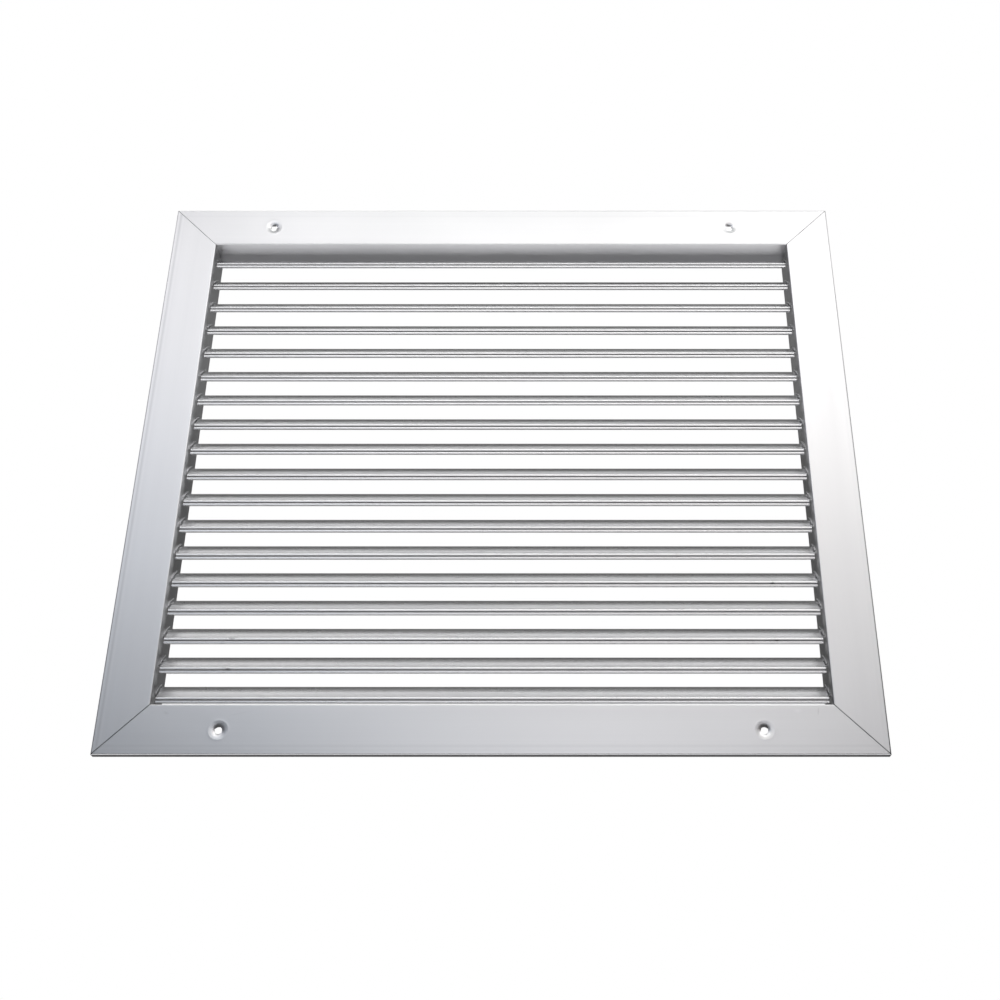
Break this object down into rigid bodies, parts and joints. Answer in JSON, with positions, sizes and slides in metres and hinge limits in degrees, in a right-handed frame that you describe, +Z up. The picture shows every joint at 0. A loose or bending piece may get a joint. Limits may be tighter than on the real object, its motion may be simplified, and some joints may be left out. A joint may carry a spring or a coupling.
{
  "type": "return air grille",
  "caption": "Rectangular return air grille: mitred flanged frame of extruded aluminium with a neck, and fixed horizontal blades at 45 degrees.",
  "frame": {"origin": "middle of the opening, in the plane of the wall that the flange seats on", "axes": "+X to the right of someone facing the grille, +Z up, +Y into the wall along the neck; the face looks along -Y"},
  "size_m": [0.47, 0.024, 0.406],
  "materials": {
    "rail_aluminium": "satin natural anodised extrusion",
    "blade_aluminium": "satin natural anodised extrusion",
    "key_steel": "zinc plated pressed plate"
  },
  "bodies": {
    "root": {"top_rail": "rail_aluminium", "bottom_rail": "rail_aluminium", "left_rail": "rail_aluminium", "right_rail": "rail_aluminium", "corner_key_top_left": "key_steel", "corner_key_top_right": "key_steel", "corner_key_bottom_left": "key_steel", "corner_key_bottom_right": "key_steel", "blade_01": "blade_aluminium", "blade_02": "blade_aluminium", "blade_03": "blade_aluminium", "blade_04": "blade_aluminium", "blade_05": "blade_aluminium", "blade_06": "blade_aluminium", "blade_07": "blade_aluminium", "blade_08": "blade_aluminium", "blade_09": "blade_aluminium", "blade_10": "blade_aluminium", "blade_11": "blade_aluminium", "blade_12": "blade_aluminium", "blade_13": "blade_aluminium", "blade_14": "blade_aluminium", "blade_15": "blade_aluminium", "blade_16": "blade_aluminium", "blade_17": "blade_aluminium", "blade_18": "blade_aluminium"}
  },
  "joints": []
}
